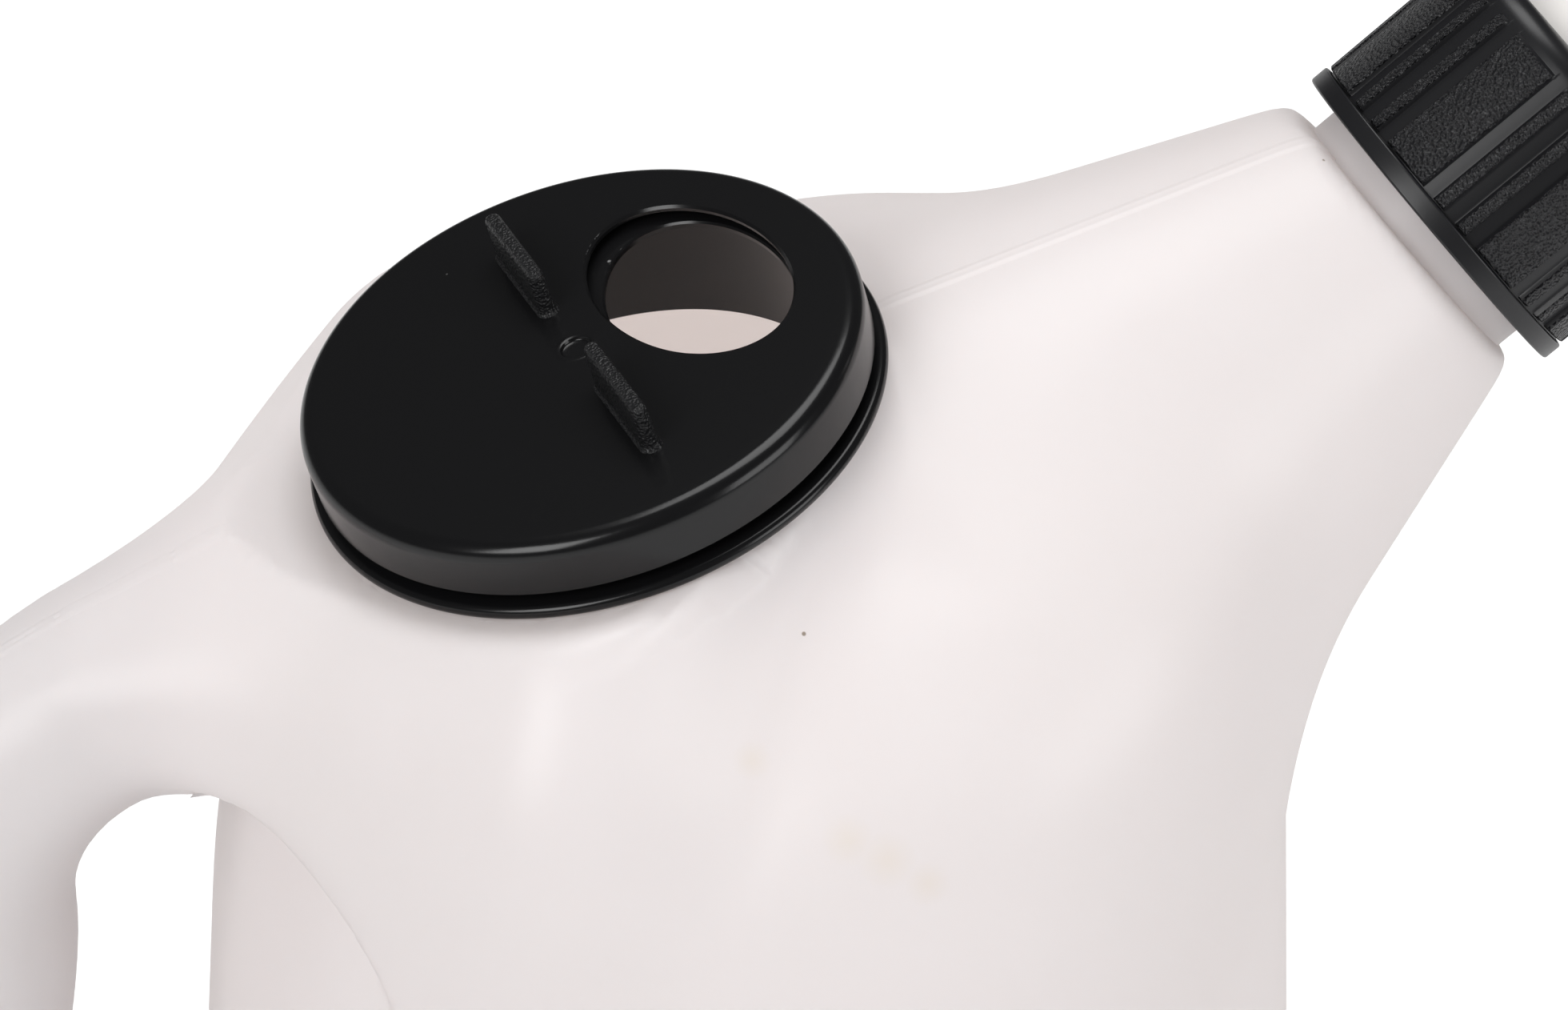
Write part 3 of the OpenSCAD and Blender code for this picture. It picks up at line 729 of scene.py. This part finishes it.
def make_cover(mat, grain):
    """Turning cover: rounded disc, side wall, pivot with its dimple, oval hole and two grained fins."""
    inner = COVER_ROUND - COVER_T
    profile = [(0.02, -DIMPLE_DEPTH), (1.6, -DIMPLE_DEPTH)]
    profile += arc(PEG_R - 0.75, -DIMPLE_DEPTH + 0.45, 0.45, -80, 0, 4)
    profile += [(PEG_R - 0.2, 0.02), (PEG_R + 0.1, 0.12), (PEG_R + 0.5, 0.1), (PEG_R + 0.9, 0.0),
                (COVER_R - COVER_ROUND - 2, 0.0)]
    profile += arc(COVER_R - COVER_ROUND, -COVER_ROUND, COVER_ROUND, 90, 0, 12)
    profile += arc(COVER_R - 0.5, -COVER_H + 0.5, 0.5, 0, -90, 4)
    profile += arc(COVER_IN_R + 0.4, -COVER_H + 0.4, 0.4, -90, -180, 4)
    profile += arc(COVER_R - COVER_ROUND, -COVER_ROUND, inner, 0, 90, 6)
    head_r = PEG_R + PEG_HEAD_STEP
    profile += [(BOSS_R, -COVER_T), (BOSS_R, -BASE_DISC_TOP + PLAY), (PEG_R, -BASE_DISC_TOP + PLAY),
                (PEG_R, -BOSS_BOTTOM - PLAY), (head_r, -BOSS_BOTTOM - PLAY), (head_r - 0.3, -PEG_BOTTOM),
                (0.02, -PEG_BOTTOM)]
    cover = lathe("cover", profile, ON_LID, 320)
    combine(cover, oval_cutter(0, -COVER_T, 0, 0.45), "DIFFERENCE")
    shade(cover, 40)
    cover.data.materials.clear()
    cover.data.materials.append(mat)
    fins = [make_fin(0), make_fin(180)]
    for fin in fins:
        shade(fin, 50)
        fin.data.materials.append(grain)
    cover = join("turning_cover", [cover, *fins])
    even_normals(cover)
    return dress(cover, "cover", ["lid_cover"], "black_lid_plastic")


def make_lid_base(mat):
    """Lid base: disc with its hole and pivot bore, rounded flange and skirt."""
    bore = PEG_R + PEG_GAP
    low = BASE_DISC_TOP + COVER_T
    half = FLANGE_T / 2
    profile = [(bore, -BASE_DISC_TOP), (BASE_DISC_R - 0.4, -BASE_DISC_TOP),
               (BASE_DISC_R, -BASE_DISC_TOP - 0.4), (BASE_DISC_R, -low), (SKIRT_R, -low), (SKIRT_R, -FLANGE_TOP)]
    profile += arc(FLANGE_R - half, -FLANGE_TOP - half, half, 90, -90, 12)
    profile += [(SKIRT_R, -SEAT_DEPTH), (SKIRT_R, -SKIRT_DEPTH + 0.5), (SKIRT_R - 0.5, -SKIRT_DEPTH),
                (SKIRT_IN_R + 0.5, -SKIRT_DEPTH), (SKIRT_IN_R, -SKIRT_DEPTH + 0.5), (SKIRT_IN_R, -low),
                (BOSS_R, -low), (BOSS_R, -BOSS_BOTTOM), (bore, -BOSS_BOTTOM)]
    base = lathe("pressed_lid_base", profile, ON_LID, 320)
    combine(base, oval_cutter(-HOLE_LAG, -low, -BASE_DISC_TOP, 0.35), "DIFFERENCE")
    shade(base, 40)
    even_normals(base)
    return dress(base, "lid", ["lid_base"], "black_lid_plastic", mat)


def rib_share(angle):
    """One on the collar's panels and ribs, zero in its grooves, with steep sides."""
    share = np.zeros(len(angle))
    period = 360 / RIB_GROUPS
    local = (angle - RIB_PHASE + period / 2) % period - period / 2
    edge = math.degrees(RIB_EDGE / COLLAR_CORE_R)
    for at, width in ((0, PANEL_ANGLE), (RIB_STEP, RIB_ANGLE), (-RIB_STEP, RIB_ANGLE)):
        share = np.maximum(share, smooth(width / 2 - np.abs(local - at), -edge, edge))
    return share


def make_collar(smooth_mat, grain_mat):
    """Screw collar: smooth band, grained panels and ribs, rounded outer end."""
    sides = 1080
    top_from, top_to = COLLAR_FROM + BAND_H + 0.3, COLLAR_TO - COLLAR_ROUND - RIB_END_GAP
    hole, inner = SPOUT_ROOT_R + SPOUT_GAP, NECK_R + COLLAR_GAP
    outline = [(r, z, 0) for r, z in arc(COLLAR_R - 0.5, COLLAR_FROM + 0.5, 0.5, -90, 0, 4)]
    outline += [(r, z, 0) for r, z in arc(COLLAR_R - 0.4, COLLAR_FROM + BAND_H - 0.4, 0.4, 0, 90, 4)]
    outline += [(COLLAR_CORE_R, top_from - 0.2, 0), (COLLAR_CORE_R, top_from, 0),
                (COLLAR_CORE_R, top_from + 0.15, 0.7), (COLLAR_CORE_R, top_from + 0.4, 1)]
    outline += [(COLLAR_CORE_R, z, 1) for z in np.linspace(top_from + 3, top_to - 3, 4)]
    outline += [(COLLAR_CORE_R, top_to - 1.0, 1), (COLLAR_CORE_R, top_to - 0.5, 0.8), (COLLAR_CORE_R, top_to, 0)]
    shoulder = arc(COLLAR_CORE_R - COLLAR_ROUND, COLLAR_TO - COLLAR_ROUND, COLLAR_ROUND, 0, 90, 10)
    outline += [(r, z, 0) for r, z in shoulder]
    outline += [(r, z, 0) for r, z in arc(hole + 0.8, COLLAR_TO - 0.8, 0.8, 90, 180, 5)]
    outline += [(hole, SPOUT_FLANGE_TO + PLAY, 0), (inner, SPOUT_FLANGE_TO + PLAY, 0),
                (inner, COLLAR_FROM, 0)]
    turn = np.linspace(0, 2 * math.pi, sides, endpoint=False)
    share = rib_share(np.degrees(turn))
    points = []
    for r, z, w in outline:
        reach = r + RIB_H * w * share
        points.append(np.stack([reach * np.cos(turn), reach * np.sin(turn), np.full(sides, z)], axis=1))
    collar = solid("ribbed_screw_collar", (np.vstack(points), ring_faces(len(outline), sides, wrap=True)), ON_NECK)
    shade(collar, 35)
    collar.data.materials.append(smooth_mat)
    collar.data.materials.append(grain_mat)
    back = ON_NECK.copy()
    back.translation = back.translation * MM
    back = back.inverted()
    limit = (COLLAR_CORE_R + 0.55 * RIB_H) * MM
    for face in collar.data.polygons:
        c = back @ face.center
        on_rib = math.hypot(c.x, c.y) > limit and top_from * MM < c.z < top_to * MM
        face.material_index = 1 if on_rib else 0
    even_normals(collar)
    return dress(collar, "collar_ring", ["collar"], "black_collar_plastic")


def make_washer(mat):
    bore = NECK_R - NECK_WALL
    outline = [(bore, NECK_TO), (NECK_R, NECK_TO), (NECK_R, WASHER_TO), (bore, WASHER_TO)]
    ring = lathe("spout_seal", outline, ON_NECK, 96)
    shade(ring, 30)
    return dress(ring, "spout_unit", ["spout_washer"], "seal_rubber", mat)


def make_spout(mat):
    """Pouring spout: clamped flange, tapered tube and straight end."""
    tip = COLLAR_TO + SPOUT_L
    root, end = SPOUT_ROOT_R, SPOUT_TIP_R
    taper, inside = SPOUT_L - SPOUT_END_L, end - SPOUT_WALL
    profile = [(root - SPOUT_WALL, WASHER_TO), (NECK_R - 0.4, WASHER_TO), (NECK_R, WASHER_TO + 0.4),
               (NECK_R, SPOUT_FLANGE_TO), (root, SPOUT_FLANGE_TO), (root, COLLAR_TO)]
    profile += [(root + (end - root) * s, COLLAR_TO + taper * s) for s in (0.25, 0.5, 0.75, 0.99)]
    profile += [(end, tip - SPOUT_END_L + 0.5), (end, tip - 0.6), (end - 0.5, tip), (inside + 0.4, tip)]
    profile += [(inside, tip - 0.5), (inside, tip - SPOUT_END_L), (root - SPOUT_WALL, COLLAR_TO)]
    spout = lathe("pouring_spout", profile, ON_NECK, 160)
    shade(spout, 35)
    return dress(spout, "spout_unit", ["spout"], "spout_plastic", mat)


# Surroundings

def sheet(name, size, at, mat):
    s = size / 2
    obj = new_object(name, [[-s, -s, 0], [s, -s, 0], [s, s, 0], [-s, s, 0]], [(0, 1, 2, 3)])
    obj.location = Vector(at) * MM
    obj.data.materials.append(mat)
    return obj


def floor_paint():
    """White paper that reads white to the camera and keeps a soft shadow."""
    mat, tree, shader = material("floor_paper", (0.86, 0.86, 0.86), 0.9)
    out = tree.nodes["Material Output"]
    ray = node(tree, "ShaderNodeLightPath")
    glow = node(tree, "ShaderNodeEmission", {"Color": (1, 1, 1, 1), "Strength": 1.22})
    rays = {0: ray.outputs["Is Camera Ray"], 1: ray.outputs["Is Transmission Ray"]}
    seen = node(tree, "ShaderNodeMath", rays, operation="MAXIMUM")
    part = node(tree, "ShaderNodeMath", {0: seen.outputs["Value"], 1: 0.72}, operation="MULTIPLY")
    mix = node(tree, "ShaderNodeMixShader", {0: part.outputs["Value"], 1: shader.outputs[0], 2: glow.outputs[0]})
    tree.links.new(mix.outputs[0], out.inputs["Surface"])
    return mat


def make_world():
    world = bpy.data.worlds.new("studio")
    world.use_nodes = True
    tree = world.node_tree
    back = tree.nodes["Background"]
    back.inputs["Color"].default_value = (1, 1, 1, 1)
    back.inputs["Strength"].default_value = 0.5
    seen = node(tree, "ShaderNodeBackground", {"Color": (1, 1, 1, 1), "Strength": 1.0})
    dim = node(tree, "ShaderNodeBackground", {"Color": (1, 1, 1, 1), "Strength": 0.06})
    ray = node(tree, "ShaderNodeLightPath")
    mix = node(tree, "ShaderNodeMixShader", {0: ray.outputs["Is Glossy Ray"], 1: back.outputs[0], 2: dim.outputs[0]})
    last = node(tree, "ShaderNodeMixShader", {0: ray.outputs["Is Camera Ray"], 1: mix.outputs[0], 2: seen.outputs[0]})
    tree.links.new(last.outputs[0], tree.nodes["World Output"].inputs["Surface"])
    bpy.context.scene.world = world


def lamp(name, at, aim, size, watts):
    data = bpy.data.lights.new(name, "AREA")
    data.shape = "SQUARE"
    data.size = size
    data.energy = watts
    obj = bpy.data.objects.new(name, data)
    obj.location = at
    obj.rotation_euler = (Vector(aim) - Vector(at)).to_track_quat("-Z", "Y").to_euler()
    bpy.context.scene.collection.objects.link(obj)
    return obj


def make_lights():
    middle = (0, 0, 0.16)
    lamp("soft_left", (-1.15, -0.8, 1.15), middle, 0.8, 11)
    lamp("soft_right", (0.95, -1.05, 0.75), middle, 0.8, 6)
    lamp("soft_top", (0.1, 0.45, 1.6), middle, 0.9, 9)


def make_camera():
    """The photograph's view: 91.84 mm on a 36 mm wide frame, looking down at the lid and spout."""
    azimuth, rise, roll = map(math.radians, (-17.676, 37.234, 1.150))
    back = Vector((math.sin(azimuth) * math.cos(rise), -math.cos(azimuth) * math.cos(rise), math.sin(rise)))
    right = Vector((math.cos(azimuth), math.sin(azimuth), 0))
    up = back.cross(right)
    turned_right = right * math.cos(roll) + up * math.sin(roll)
    turned_up = up * math.cos(roll) - right * math.sin(roll)
    data = bpy.data.cameras.new("photo_view")
    data.lens = 91.84
    data.sensor_width = 36
    data.clip_start = 0.05
    data.clip_end = 50
    cam = bpy.data.objects.new("photo_view", data)
    axes = Matrix((turned_right, turned_up, back)).transposed()
    cam.matrix_world = Matrix.Translation(Vector((-167.89, -543.44, 641.89)) * MM) @ axes.to_4x4()
    bpy.context.scene.collection.objects.link(cam)
    bpy.context.scene.camera = cam


def main():
    make_camera()
    make_world()
    make_lights()
    bpy.context.scene.view_settings.view_transform = "Standard"
    sheet("floor", 12000, (0, 0, -0.4), floor_paint())
    natural = body_plastic("natural_plastic", 0.0)
    # Copy for the inner skin with a painted glow, painted light in place of light shining through the wall
    inside = body_plastic("natural_plastic_inside_painted_glow", 0.2)
    black = lid_plastic()
    fin_grain = grained_plastic("fin_grain", (0.008, 0.008, 0.009), 2200, 0.7, 0.0006, 0.4)
    collar_black = plain_plastic("collar_smooth", (0.010, 0.010, 0.0115), 0.34)
    collar_grain = grained_plastic("collar_grain", (0.014, 0.014, 0.016), 1900, 1.0, 0.0015, 0.36)
    rubber = plain_plastic("seal_rubber", (0.04, 0.04, 0.04), 0.6)
    pale = plain_plastic("spout_plastic", (0.93, 0.90, 0.87), 0.4)
    make_body(natural, inside)
    make_thread(natural)
    make_lid_base(black)
    make_cover(black, fin_grain)
    make_collar(collar_black, collar_grain)
    make_washer(rubber)
    make_spout(pale)


main()
